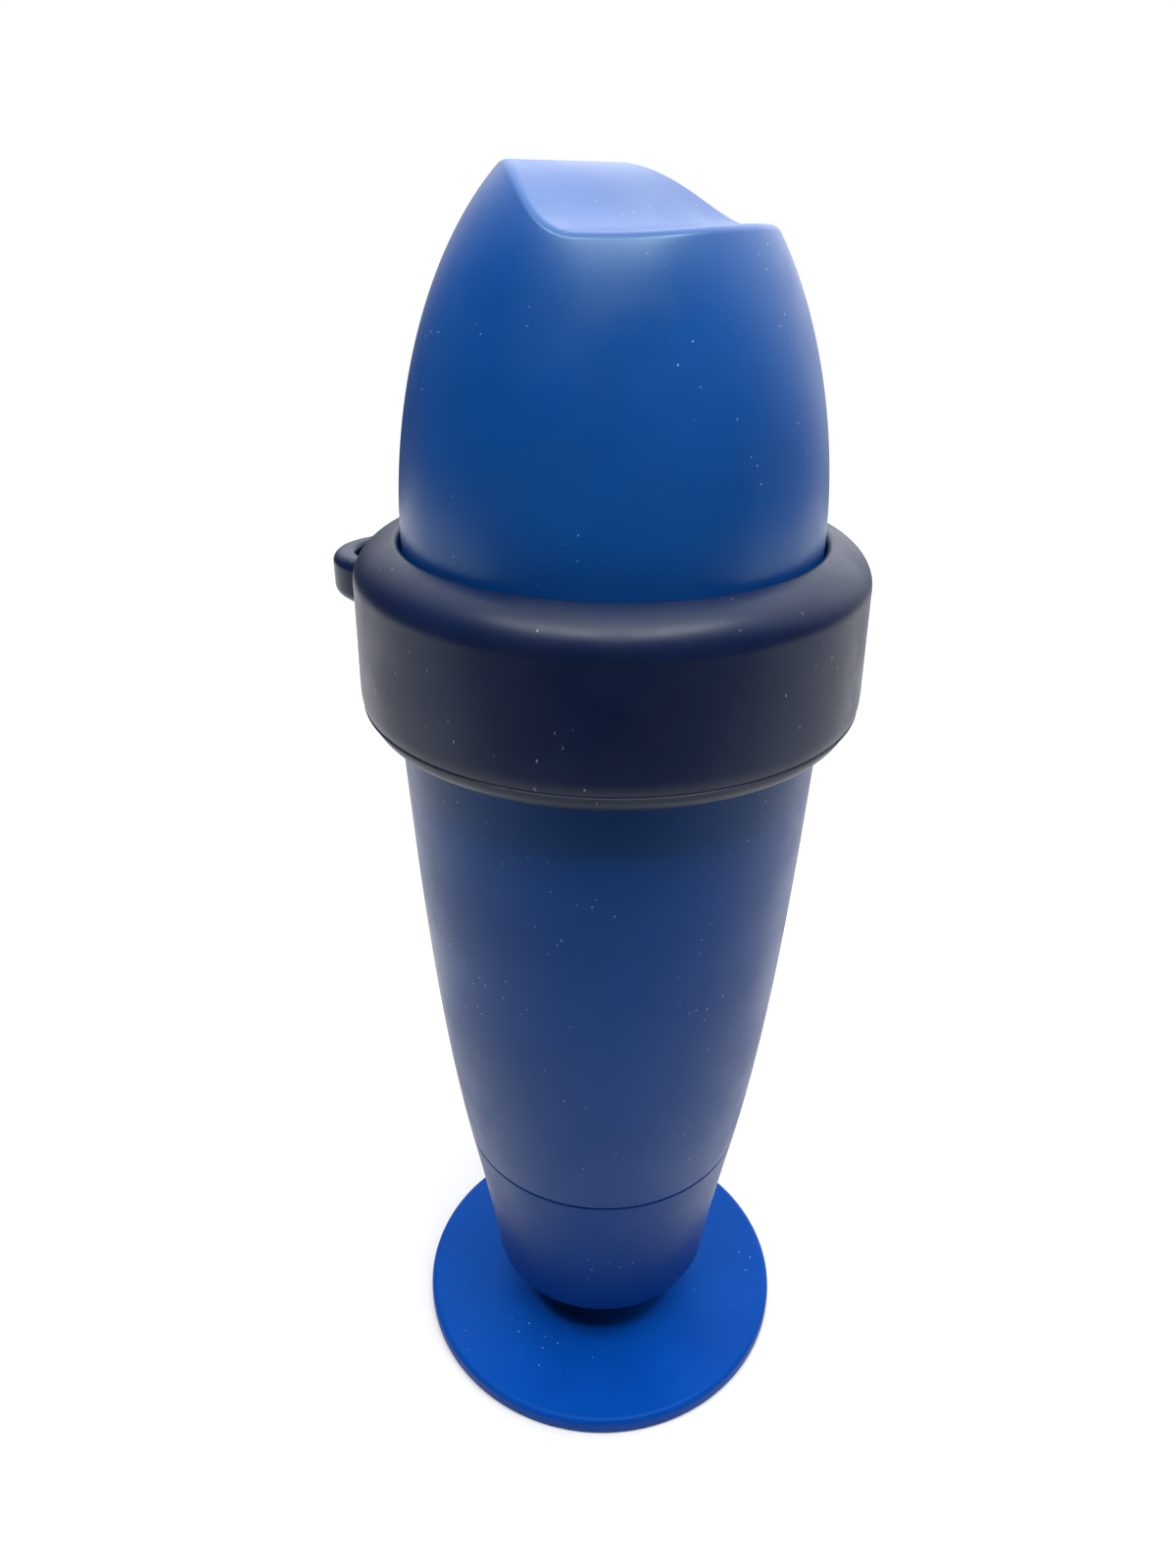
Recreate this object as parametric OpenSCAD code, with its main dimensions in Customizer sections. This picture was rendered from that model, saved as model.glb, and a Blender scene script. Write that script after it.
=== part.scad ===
// A floating water analyser that stands upright on a round foot disc.
// A tapered hull holds the battery and electronics, a rubber float collar sits on a ledge
// around its neck, a tall head shell with a wave-cut top covers the aerial, and a screwed-on
// foot guards the plug-in probe below. All sizes are in millimetres. The origin is the centre
// of the foot's underside, +Z points up, and +Y points to the collar's tether lug.

/* [Foot] */
// Radius of the foot disc
disc_r = 45; // [43:0.5:48]
// Thickness of the foot disc
disc_thick = 4.5; // [4.2:0.1:5.5]
// Open height between the disc and the sleeve, where water flows in
water_gap = 14.5; // [13:0.5:15.5]
// Radius of the sleeve just above its lower lip
sleeve_low_r = 26.6; // [26.2:0.1:27.6]
// Wall of the sleeve
sleeve_wall = 2.4; // [2:0.1:2.6]

/* [Hull] */
// Height of the split line between the sleeve and the hull
split_z = 61.7; // [61.5:0.1:62]
// Radius of the body at the split line
split_r = 32.8; // [32.5:0.1:34]
// Height of the ledge that the float collar rests on
ledge_z = 172.4; // [170:0.2:176]
// Radius of the hull at the ledge
ledge_r = 42.1; // [41.5:0.1:43]
// Wall of the hull
hull_wall = 2.6; // [2.2:0.1:3]

/* [Head] */
// Radius of the head where it is widest
head_r = 39.3; // [39:0.1:39.9]
// Wall of the head
head_wall = 2.7; // [2.5:0.1:2.8]
// Height where the head starts to narrow
shoulder_z = 205; // [203:0.5:206]
// Height of the head's oval above its shoulder, before the wave is cut
head_rise = 69; // [68:0.5:72]
// Height of the wave's high side
crest_z = 265.4; // [262:0.2:265.4]
// Height of the wave's low side
dip_z = 255.8; // [253:0.2:258]
// Angle from the tether lug to the wave's high side
wave_turn = -17; // [-180:1:180]

/* [Float collar] */
// Outer radius of the collar's wall at its foot
collar_r = 48.8; // [48:0.1:50]
// Height of the collar's crown
crown_z = 205.4; // [204:0.2:207]
// Radius of the tether lug's outer curve
lug_r = 12; // [11:0.2:13]
// Radius of the eye in the tether lug
eye_r = 7.4; // [6.8:0.1:8]

/* [Probe] */
// Radius of the probe's sensing end
probe_r = 14.5; // [13:0.1:15]
// Radius of the probe's neck, which plugs into the socket
neck_r = 12.2; // [11.8:0.1:12.4]

/* [Hidden] */
$fn = 96;

// Gaps: a parting gap between moving pieces, and a snug one between pieces that stay together
gap = 0.3;
snug = 0.1;

// Heights and radii of the sleeve
lip_z = disc_thick + water_gap;
lip_round = 2;
seam = 0.5;
seam_ease = 0.3;
sleeve_top_z = split_z - seam / 2;
thread_z = 48;
thread_depth = 1.2;
mouth_r = sleeve_low_r - sleeve_wall;
bore_r = sleeve_r(thread_z) - sleeve_wall;

// Seal ring in the sleeve's rim
foot_seal_r = 30.3;
seal_tube = 0.95;
foot_seal_z = sleeve_top_z - 0.7;
seal_groove = 2.2;

// Legs between the sleeve and the disc, and the screws that hold the disc to them
leg_count = 3;
leg_start = 20;
leg_thick = 6;
leg_foot = [8, 14];
leg_top = [17, mouth_r + 1];
boss_r = 3.6;
boss_ring_r = 11;
boss_top_z = 12;
screw_shank_r = 1.45;
screw_head_r = 2.8;
screw_seat_z = 2.4;
screw_end_z = 10.5;

// Spigot and bulkhead at the foot of the hull
hull_base_z = split_z + seam / 2;
spigot_z = 50;
spigot_r = bore_r - thread_depth;
spigot_in_r = 23.4;
bulkhead_z = 66;
bulkhead_top_z = 70;
socket_r = 15;

// Neck of the hull, and the tube that the head slips over
collar_neck_r = head_r - 0.1;
neck_top_z = 186;
neck_in_r = 36.2;
tube_top_z = 197;
tube_r = head_r - head_wall - 0.4;
tube_in_r = 32.6;
head_seal_z = 191;
head_seal_tube = 1.05;
head_seal_r = tube_r + gap - snug / 2 - head_seal_tube;
skirt_z = neck_top_z + gap;

// Wave of the head: a half sine between two level stretches, with a lip that curls up again
wave_middle = 0.3;
wave_half_run = 11;
lip_curl_start = 14;
lip_curl = 0.0083;

// Float collar
collar_bore_r = head_r + gap;
collar_skirt_z = ledge_z + gap;
collar_base_z = ledge_z - 2.8;
collar_edge_r = 4;
collar_part_r = collar_r - 0.9;
collar_part_z = collar_base_z + collar_edge_r;
collar_swell = 3;
crown_half = [10.8, 7.6];
crown_lip = 2.2;
crown_start = [collar_r - 0.3, crown_z - crown_half[1]];
lug_y = 48.2;
lug_top_z = 195.8;
lug_outer_z = 188;
lug_inner_z = 184.5;
lug_ease = 0.8;
lug_root = 2.5;

// Probe
probe_tip_z = 38;
probe_face_z = 46;
probe_top_z = 63.1;
plug_top_z = 83.2;
socket_bore_r = 12.5;
socket_flange_z = 63.4;
socket_cap_z = 86;
socket_top_z = 88;
plug_seal_z = [69, 74];
plug_seal_tube = 0.9;
sensor_ring_r = 7.5;
flex_z = 89;

// Ballast, chassis and electronics inside the hull
ballast_in_r = 21;
ballast_r = 29.5;
ballast_top_z = 88;
ear_ring_r = (ballast_r + ballast_in_r) / 2;
ear_screw_r = 1.6;
deck_z = 90;
deck_thick = 3;
deck_r = 30;
top_deck_z = 176;
top_deck_r = 31.8;
board = [50, 1.6, 76];
board_y = -7;
board_z = 96;
cell_r = 9.2;
cell_length = 65;
cell_x = 10.5;
cell_y = 10;
cell_z = 99;
aerial = [16, 1.2, 44];

// Radius of the hull's outside at height z: it leans in steadily, and tucks in towards the foot
function hull_r(z) =
    let (t = (ledge_z - z) / (ledge_z - split_z))
    ledge_r - (ledge_r - split_r) * (0.535 * t + 0.465 * pow(t, 3));

// Radius of the sleeve's outside at height z
function sleeve_r(z) =
    let (u = (z - lip_z - lip_round) / (split_z - lip_z - lip_round))
    sleeve_low_r + (split_r - sleeve_low_r) * (0.84 * u + 0.16 * pow(u, 2));

// Points on an elliptic arc about a centre, from one angle to another
function arc(centre, radii, from, to, steps) = [
    for (i = [0 : steps])
        let (a = from + (to - from) * i / steps)
        [centre[0] + radii[0] * cos(a), centre[1] + radii[1] * sin(a)]
];

// Height of the wave at distance y towards its high side
function wave_z(y) =
    let (u = max(-1, min(1, (y - wave_middle) / wave_half_run)))
    (crest_z + dip_z) / 2 + (crest_z - dip_z) / 2 * sin(90 * u)
        + lip_curl * pow(max(0, -y - lip_curl_start), 2);

module turned(points) {
    rotate_extrude() polygon(points);
}

module tube(outer, inner, low, high) {
    difference() {
        translate([0, 0, low]) cylinder(r = outer, h = high - low);
        translate([0, 0, low - 1]) cylinder(r = inner, h = high - low + 2);
    }
}

module ring(radius, section, height) {
    rotate_extrude() translate([radius, height]) circle(r = section, $fn = 24);
}

// Repeats its children evenly around the axis
module around(count, start = 90) {
    for (i = [0 : count - 1]) rotate([0, 0, start + i * 360 / count]) children();
}

// Everything under the wave, lowered by drop
module under_wave(drop) {
    reach = 50;
    step = 2;
    rotate([0, 0, wave_turn])
        rotate([90, 0, 90])
            linear_extrude(height = 2 * reach, center = true)
                polygon(concat(
                    [[reach, skirt_z - 5], [reach, wave_z(reach) - drop]],
                    [for (y = [14 : -step : -30]) [y, wave_z(y) - drop]],
                    [[-reach, wave_z(-30) - drop], [-reach, skirt_z - 5]]
                ));
}

// An oval dome on a straight skirt
module egg(radius, rise, low) {
    turned(concat([[0, low], [radius, low]], arc([0, shoulder_z], [radius, rise], 0, 64, 20),
        [[0, shoulder_z + rise * sin(64)]]));
}

module hull_shell() {
    steps = 14;
    inner_low = bulkhead_top_z;
    inner_high = ledge_z - hull_wall;
    outside = [for (i = [0 : steps])
        let (z = hull_base_z + seam_ease + (ledge_z - hull_base_z - seam_ease) * i / steps)
        [hull_r(z), z]];
    inside = [for (i = [steps : -1 : 0])
        let (z = inner_low + (inner_high - inner_low) * i / steps)
        [hull_r(z) - hull_wall, z]];
    color("#1d4f94")
        difference() {
            turned(concat(
                [[spigot_in_r, spigot_z], [spigot_r, spigot_z], [spigot_r, hull_base_z]],
                [[split_r - seam_ease, hull_base_z]],
                outside,
                [[collar_neck_r, ledge_z], [collar_neck_r, neck_top_z], [tube_r, neck_top_z]],
                [[tube_r, tube_top_z], [tube_in_r, tube_top_z]],
                [[tube_in_r, neck_top_z - hull_wall], [neck_in_r, neck_top_z - hull_wall]],
                [[neck_in_r, inner_high]],
                inside,
                [[socket_r + snug, bulkhead_top_z], [socket_r + snug, bulkhead_z]],
                [[spigot_in_r, bulkhead_z]]
            ));
            tube(tube_r + 1, head_seal_r - head_seal_tube - snug,
                head_seal_z - head_seal_tube - snug, head_seal_z + head_seal_tube + snug);
        }
}

module head_shell() {
    color("#1f5cb5")
        difference() {
            intersection() {
                egg(head_r, head_rise, skirt_z);
                under_wave(0);
            }
            intersection() {
                egg(head_r - head_wall, head_rise - head_wall, skirt_z - 1);
                under_wave(head_wall);
            }
        }
}

module head_seal() {
    color("#2b2b2b") ring(head_seal_r, head_seal_tube, head_seal_z);
}

// Half of the lug's cross-section, measured from the centre of its eye
module lug_section() {
    polygon([
        [eye_r, lug_inner_z], [lug_r, lug_outer_z], [lug_r, lug_top_z - lug_ease],
        [lug_r - lug_ease, lug_top_z], [eye_r + lug_ease, lug_top_z],
        [eye_r, lug_top_z - lug_ease]
    ]);
}

module tether_lug() {
    translate([0, lug_y, 0]) {
        rotate_extrude(angle = 180) lug_section();
        for (side = [0, 1])
            mirror([side, 0, 0]) rotate([90, 0, 0]) linear_extrude(height = lug_root) lug_section();
    }
}

module float_collar() {
    crown_centre = [crown_start[0] - crown_half[0], crown_start[1]];
    lip_reach = (collar_bore_r + crown_lip - crown_centre[0]) / crown_half[0];
    lip_angle = acos(lip_reach);
    lip_top_z = crown_centre[1] + crown_half[1] * sin(lip_angle);
    color("#20263a")
        union() {
            turned(concat(
                [[ledge_r + gap, collar_base_z]],
                arc([collar_part_r - collar_edge_r, collar_part_z],
                    [collar_edge_r, collar_edge_r], -90, 0, 6),
                arc([collar_part_r, collar_part_z + collar_swell],
                    [collar_r - collar_part_r, collar_swell], -60, 0, 3),
                arc(crown_centre, crown_half, 0, lip_angle, 10),
                arc([collar_bore_r + crown_lip, lip_top_z - crown_lip],
                    [crown_lip, crown_lip], 105, 180, 5),
                [[collar_bore_r, collar_skirt_z], [ledge_r + gap, collar_skirt_z]]
            ));
            tether_lug();
        }
}

module foot_seal() {
    color("#2b2b2b") ring(foot_seal_r, seal_tube, foot_seal_z);
}

// One web from the sleeve's mouth down to the disc, with a boss for its screw
module leg() {
    rotate([90, 0, 0])
        linear_extrude(height = leg_thick, center = true)
            polygon([
                [leg_foot[0], disc_thick], [leg_foot[1], disc_thick],
                [leg_top[1], lip_z + 0.5], [leg_top[1], lip_z + 4],
                [leg_top[0] + 3, lip_z + 4], [leg_top[0], lip_z]
            ]);
    translate([boss_ring_r, 0, disc_thick]) cylinder(r = boss_r, h = boss_top_z - disc_thick);
}

module foot_sleeve() {
    steps = 8;
    low = lip_z + lip_round;
    high = sleeve_top_z - seam_ease;
    outside = [for (i = [1 : steps])
        let (z = low + (high - low) * i / steps)
        [sleeve_r(z), z]];
    inside = [for (i = [steps : -1 : 1])
        let (z = lip_z + (thread_z - lip_z) * i / steps)
        [sleeve_r(z) - sleeve_wall, z]];
    color("#1b4d90")
        difference() {
            union() {
                turned(concat(
                    [[mouth_r - 0.3, lip_z]],
                    arc([sleeve_low_r - lip_round, low], [lip_round, lip_round], -90, 0, 5),
                    outside,
                    [[split_r - seam_ease, sleeve_top_z], [bore_r, sleeve_top_z]],
                    inside
                ));
                around(leg_count, leg_start) leg();
            }
            around(leg_count, leg_start)
                translate([boss_ring_r, 0, disc_thick - 1])
                    cylinder(r = screw_shank_r + snug / 2, h = screw_end_z - disc_thick + 2, $fn = 24);
            tube(foot_seal_r + seal_groove / 2, foot_seal_r - seal_groove / 2,
                foot_seal_z - seal_tube - snug, sleeve_top_z + 1);
        }
}

module foot_disc() {
    rim = disc_thick / 2;
    color("#1660b8")
        difference() {
            turned(concat([[0, 0]], arc([disc_r - rim, rim], [rim, rim], -90, 90, 10),
                [[0, disc_thick]]));
            around(leg_count, leg_start)
                translate([boss_ring_r, 0, 0]) {
                    translate([0, 0, -1])
                        cylinder(r = screw_head_r + 0.2, h = screw_seat_z + 1, $fn = 32);
                    cylinder(r = screw_shank_r + snug, h = disc_thick + 1, $fn = 24);
                }
        }
}

module foot_screws() {
    head_z = 0.6;
    color("#b9bcc0")
        around(leg_count, leg_start)
            translate([boss_ring_r, 0, 0])
                difference() {
                    union() {
                        translate([0, 0, head_z])
                            cylinder(r = screw_head_r, h = screw_seat_z - head_z, $fn = 32);
                        translate([0, 0, screw_seat_z])
                            cylinder(r = screw_shank_r, h = screw_end_z - screw_seat_z, $fn = 24);
                    }
                    translate([0, 0, head_z - 1]) cylinder(r = 1.4, h = 2, $fn = 6);
                }
}

module probe_socket() {
    color("#30343c")
        difference() {
            union() {
                translate([0, 0, socket_flange_z])
                    cylinder(r = socket_r + 3, h = bulkhead_z - socket_flange_z - snug);
                translate([0, 0, socket_flange_z])
                    cylinder(r = socket_r, h = socket_top_z - socket_flange_z);
            }
            translate([0, 0, socket_flange_z - 1])
                cylinder(r = socket_bore_r, h = socket_cap_z - socket_flange_z + 1);
            around(6)
                translate([sensor_ring_r, 0, socket_cap_z - 1]) cylinder(r = 0.75, h = 4, $fn = 16);
        }
}

module socket_nut() {
    nut_r = 19.5;
    nut_height = 4;
    color("#3d4350")
        difference() {
            translate([0, 0, bulkhead_top_z + snug]) cylinder(r = nut_r, h = nut_height, $fn = 6);
            translate([0, 0, bulkhead_top_z - 1]) cylinder(r = socket_r + snug, h = nut_height + 3);
        }
}

module socket_pins() {
    color("#d8b35a")
        around(6)
            translate([sensor_ring_r, 0, plug_top_z + 0.6])
                cylinder(r = 0.65, h = flex_z + 1 - plug_top_z - 0.6, $fn = 16);
}

module ballast_ring() {
    color("#55585c")
        difference() {
            tube(ballast_r, ballast_in_r, bulkhead_top_z + snug, ballast_top_z);
            around(3)
                translate([ear_ring_r, 0, ballast_top_z - 9])
                    cylinder(r = ear_screw_r + snug, h = 10, $fn = 24);
        }
}

// Lower deck, upper deck and the two rails between them
module chassis_frame() {
    rail = [3, 12];
    rail_x = 25.5;
    color("#c9cdd2")
        difference() {
            union() {
                tube(deck_r, 17, deck_z, deck_z + deck_thick);
                translate([0, 0, top_deck_z]) cylinder(r = top_deck_r, h = deck_thick);
                for (side = [-1, 1])
                    translate([side * rail_x - rail[0] / 2, -rail[1] / 2, deck_z])
                        cube([rail[0], rail[1], top_deck_z - deck_z + 1]);
                around(3)
                    translate([ear_ring_r, 0, ballast_top_z + snug])
                        cylinder(r = 3.2, h = deck_z - ballast_top_z, $fn = 32);
            }
            around(3)
                translate([ear_ring_r, 0, ballast_top_z - 1])
                    cylinder(r = ear_screw_r + snug, h = 8, $fn = 24);
            translate([-12, -aerial[1] / 2 - snug, top_deck_z - 1])
                cube([24, aerial[1] + 2 * snug, deck_thick + 2]);
            translate([0, -20, top_deck_z - 1]) cylinder(r = 5, h = deck_thick + 2);
        }
}

module chassis_screws() {
    color("#b9bcc0")
        around(3)
            translate([ear_ring_r, 0, 0]) {
                translate([0, 0, ballast_top_z - 8])
                    cylinder(r = ear_screw_r, h = deck_z + deck_thick - ballast_top_z + 8, $fn = 24);
                translate([0, 0, deck_z + deck_thick]) cylinder(r = 2.9, h = 2, $fn = 32);
            }
}

module main_board() {
    color("#1f6b3a")
        translate([-board[0] / 2 + 1, board_y - board[1] / 2, board_z])
            cube([board[0] - 2, board[1], board[2]]);
}

module radio_can() {
    color("#c4c7ca")
        translate([-12, board_y - board[1] / 2 - 3.2, board_z + 48]) cube([24, 3.2, 18]);
}

module logic_chips() {
    chips = [[-16, 30, 8], [2, 24, 10], [12, 38, 6], [-4, 40, 5]];
    color("#1c1d20")
        for (chip = chips)
            translate([chip[0], board_y - board[1] / 2 - 1.2, board_z + chip[1]])
                cube([chip[2], 1.2, chip[2]]);
}

module board_connector() {
    color("#e8e4d6")
        translate([-7, board_y - board[1] / 2 - 4, board_z + 3]) cube([14, 4, 6]);
}

// Flat strip that takes the socket's pins through the lower deck to the board's connector
module sensor_flex() {
    width = 10;
    thick = 0.3;
    pad_r = 9.6;
    strip_y = board_y - board[1] / 2 - 2;
    color("#b06a1e")
        difference() {
            union() {
                translate([0, 0, flex_z]) cylinder(r = pad_r, h = thick);
                translate([-width / 2, strip_y, flex_z]) cube([width, -strip_y, thick]);
                translate([-width / 2, strip_y, flex_z]) cube([width, thick, board_z + 3 - flex_z]);
            }
            around(6)
                translate([sensor_ring_r, 0, flex_z - 1]) cylinder(r = 0.75, h = 3, $fn = 16);
        }
}

// One cylindrical cell with its raised positive cap
module cell(side) {
    translate([side * cell_x, cell_y, cell_z]) {
        cylinder(r = cell_r, h = cell_length - 1);
        cylinder(r = 3, h = cell_length, $fn = 32);
    }
}

module battery_cell_a() {
    color("#7a3fa0") cell(-1);
}

module battery_cell_b() {
    color("#7a3fa0") cell(1);
}

// Tray behind the board that carries both cells
module cell_cradle() {
    tray = [43, 11, cell_length + 5];
    color("#2e3138")
        difference() {
            translate([-tray[0] / 2, -1.5, cell_z - 3]) cube(tray);
            for (side = [-1, 1])
                translate([side * cell_x, cell_y, cell_z - 0.8])
                    cylinder(r = cell_r + snug, h = cell_length + 1.2);
        }
}

module cell_contacts() {
    color("#cfd2d4")
        for (side = [-1, 1])
            for (level = [cell_z - 0.6, cell_z + cell_length + 0.05])
                translate([side * cell_x - 3, cell_y - 3, level]) cube([6, 6, 0.3]);
}

module antenna_board() {
    color("#1f6b3a")
        translate([-aerial[0] / 2, -aerial[1] / 2, top_deck_z]) cube(aerial);
}

module desiccant_pack() {
    color("#eeeeea")
        translate([-11, 8, top_deck_z + deck_thick]) cube([22, 12, 5]);
}

// Body of the probe: a plug neck above, and a cupped sensing end below
module probe_body() {
    cup_wall = 2.2;
    groove_r = socket_bore_r - 2 * snug - 2 * plug_seal_tube;
    color("#26292f")
        difference() {
            turned([
                [0, probe_face_z], [probe_r - cup_wall, probe_face_z],
                [probe_r - cup_wall, probe_tip_z], [probe_r - 0.6, probe_tip_z],
                [probe_r, probe_tip_z + 0.6], [probe_r, probe_top_z - 1],
                [probe_r - 1, probe_top_z], [neck_r, probe_top_z],
                [neck_r, plug_top_z - 1], [neck_r - 1, plug_top_z], [0, plug_top_z]
            ]);
            for (level = plug_seal_z)
                tube(neck_r + 1, groove_r, level - plug_seal_tube - snug,
                    level + plug_seal_tube + snug);
            around(3, 30)
                translate([probe_r - 4, -2, probe_tip_z - 1]) cube([6, 4, 5]);
        }
}

// A thin bulb on a short stem
module glass_bulb() {
    bulb_r = 3.6;
    stem_r = 2.4;
    bulb_z = probe_face_z - bulb_r - snug;
    color("#d5e6ea")
        union() {
            translate([0, 0, bulb_z]) sphere(r = bulb_r, $fn = 48);
            translate([0, 0, bulb_z]) cylinder(r = stem_r, h = probe_face_z - bulb_z, $fn = 48);
        }
}

// A round pin with a domed end, standing down from the probe's face
module face_pin(radius, length) {
    dome_z = probe_face_z - length;
    turned(concat([[0, probe_face_z], [radius, probe_face_z]],
        arc([0, dome_z], [radius, radius], 0, -90, 6)));
}

module reference_plug() {
    color("#efece2") translate([-sensor_ring_r, 0, 0]) face_pin(2, 0.8);
}

module redox_tip() {
    color("#d9d4c4") translate([sensor_ring_r, 0, 0]) face_pin(1.5, 2.6);
}

module conductivity_pins() {
    color("#8f9498")
        for (side = [-2.4, 2.4]) translate([side, sensor_ring_r, 0]) face_pin(0.9, 4);
}

module temperature_tip() {
    color("#c9ccce") translate([0, -sensor_ring_r, 0]) face_pin(1.3, 4.5);
}

module probe_seals() {
    color("#2b2b2b")
        for (level = plug_seal_z)
            ring(socket_bore_r - snug - plug_seal_tube, plug_seal_tube, level);
}

module probe_pads() {
    color("#d8b35a")
        around(6)
            translate([sensor_ring_r, 0, plug_top_z]) cylinder(r = 1.4, h = 0.2, $fn = 24);
}

hull_shell();
probe_socket();
socket_nut();
socket_pins();
ballast_ring();
chassis_frame();
chassis_screws();
main_board();
radio_can();
logic_chips();
board_connector();
sensor_flex();
battery_cell_a();
battery_cell_b();
cell_cradle();
cell_contacts();
antenna_board();
desiccant_pack();
head_seal();
head_shell();
float_collar();
foot_seal();
foot_sleeve();
foot_disc();
foot_screws();
probe_body();
glass_bulb();
reference_plug();
redox_tip();
conductivity_pins();
temperature_tip();
probe_seals();
probe_pads();
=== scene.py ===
"""Looks for the floating water analyser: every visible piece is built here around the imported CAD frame."""

import math

import bmesh
import bpy
from mathutils import Matrix, Vector


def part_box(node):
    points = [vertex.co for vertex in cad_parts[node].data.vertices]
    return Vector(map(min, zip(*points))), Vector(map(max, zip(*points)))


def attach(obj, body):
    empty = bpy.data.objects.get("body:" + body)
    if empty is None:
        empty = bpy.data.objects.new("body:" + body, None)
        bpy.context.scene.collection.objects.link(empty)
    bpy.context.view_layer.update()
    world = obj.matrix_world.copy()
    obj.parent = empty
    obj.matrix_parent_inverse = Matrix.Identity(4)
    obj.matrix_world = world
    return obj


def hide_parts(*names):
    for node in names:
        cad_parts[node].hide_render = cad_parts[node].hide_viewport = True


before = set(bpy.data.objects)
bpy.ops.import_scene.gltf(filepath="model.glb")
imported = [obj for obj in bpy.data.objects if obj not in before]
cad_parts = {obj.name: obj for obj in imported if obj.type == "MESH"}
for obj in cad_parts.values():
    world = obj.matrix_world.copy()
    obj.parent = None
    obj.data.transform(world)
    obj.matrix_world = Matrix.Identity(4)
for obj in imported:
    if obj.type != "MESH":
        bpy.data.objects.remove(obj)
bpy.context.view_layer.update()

MM = 0.001
AROUND = 240


# ---------------------------------------------------------------- sizes, in millimetres

def low_corner(node):
    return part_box(node)[0] / MM


def high_corner(node):
    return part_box(node)[1] / MM


# Foot
DISC_R = high_corner("foot_disc").x
DISC_TOP = high_corner("foot_disc").z
LIP_Z = DISC_TOP + 14.5
LIP_ROUND = 2.0
SLEEVE_LOW_R = 26.6
SLEEVE_TOP = high_corner("foot_sleeve").z
SLEEVE_WALL = 2.4
BORE_R = 27.9
BORE_Z = 48.0
FOOT_SEAL_R = 30.3
FOOT_SEAL_Z = SLEEVE_TOP - 0.7
SCREW_RING_R = 11.0
SCREW_TURNS = [math.radians(20 + 120 * k) for k in range(3)]
SCREW_HEAD_R = 2.8
SCREW_HEAD_Z = low_corner("foot_screws").z
SCREW_SEAT_Z = 2.4
SCREW_SHANK_R = 1.45
SCREW_END_Z = high_corner("foot_screws").z
SCREW_SOCKET_R = 1.4
BOSS_R = 3.6
BOSS_TOP = 12.0
LEG_HALF_WIDTH = 3

# Hull
SPLIT_Z = SLEEVE_TOP + 0.25
SPLIT_R = 32.8
HULL_BASE = SPLIT_Z + 0.25
SPIGOT_Z = low_corner("hull_shell").z
SPIGOT_R = 26.7
SPIGOT_IN_R = 23.4
BULKHEAD_Z = 66.0
BULKHEAD_TOP = 70.0
SOCKET_HOLE_R = 15.1
LEDGE_Z = 172.4
LEDGE_R = high_corner("hull_shell").x
HULL_WALL = 2.6
NECK_R = 39.2
NECK_TOP = 186.0
NECK_IN_R = 36.2
TUBE_R = 36.2
TUBE_IN_R = 32.6
TUBE_TOP = high_corner("hull_shell").z
HEAD_SEAL_Z = 191.0
HEAD_SEAL_SECTION = 1.05
SEAL_GROOVE_R = 34.25
SEAL_GROOVE_HALF = 1.15

# Head
HEAD_R = high_corner("head_shell").x
HEAD_WALL = 2.7
SKIRT_Z = low_corner("head_shell").z
SHOULDER_Z = 205.0
HEAD_RISE = 69.0
CREST_Z = high_corner("head_shell").z
DIP_Z = 255.8
WAVE_TURN = math.radians(90 - 17)
WAVE_MIDDLE = 0.3
WAVE_HALF_RUN = 11.0
LIP_CURL = 0.0083
LIP_CURL_START = 14.0
RIM_ROUND = 2.2

# Float collar
COLLAR_R = high_corner("float_collar").x
COLLAR_BASE = low_corner("float_collar").z
COLLAR_BORE_R = 39.6
COUNTERBORE_R = 42.4
COUNTERBORE_Z = 172.7
CROWN_Z = high_corner("float_collar").z
CROWN_HALF = (10.8, 7.6)
PART_R = COLLAR_R - 0.9
PART_Z = COLLAR_BASE + 4.0
EYE_R = 7.4
LUG_R = 12.0
LUG_Y = high_corner("float_collar").y - LUG_R
LUG_TOP = 195.8
LUG_OUTER_LOW = 188.0
LUG_INNER_LOW = 184.5

# Probe
PROBE_R = high_corner("probe_body").x
PROBE_TIP = low_corner("probe_body").z
PROBE_TOP = high_corner("probe_body").z
PROBE_FACE = 46.0
PROBE_SHOULDER = 63.1
PLUG_R = 12.2
PLUG_SEALS = (69.0, 74.0)
PLUG_SEAL_R = 11.5
PLUG_SEAL_SECTION = 0.9
PLUG_GROOVE_R = 10.5
PLUG_GROOVE_HALF = 1
CUP_WALL = 2.2
BULB_R = 3.6
BULB_NECK_R = 2.4
BULB_Z = PROBE_FACE - 3.7

# Chassis
DECK = (90.0, 93.0)
DECK_HOLE_R = 17
DECK_R = 30
TOP_DECK = (176.0, 179.0)
TOP_DECK_R = 31.8
RAIL_X = 25.5
EAR_R = 25.25
EAR_TURNS = [math.radians(90 + 120 * k) for k in range(3)]
PAD_R = 3.2
PAD_Z = 88.1

# Aerial board: its trace zigzags up from the feed point, and its chips are (x, z, width, height)
FEED_Z = 182.0
ZIGZAG = (191.0, 215.0)
ZIGZAG_BENDS = 8
ZIGZAG_REACH = 5.6
TRACE_WIDTH = 1.1
TRACE_THICKNESS = 0.06
AERIAL_CHIPS = [(-4, 183.5, 3.2, 1.6), (4.5, 184, 2, 1.2), (4.5, 187, 2, 1.2), (-4.5, 187.5, 2, 1.2)]
CHIP_RISE = 0.7

# Desiccant sachet, with its length and width counted from -1 to 1
CRIMP_START = 0.86
CRIMP_PLEAT = 0.12
SEAM_HEIGHT = 0.7
TOP_PUFF = 1.26
LOW_PUFF = 0.66
WAIST_PULL = 0.05

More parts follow.
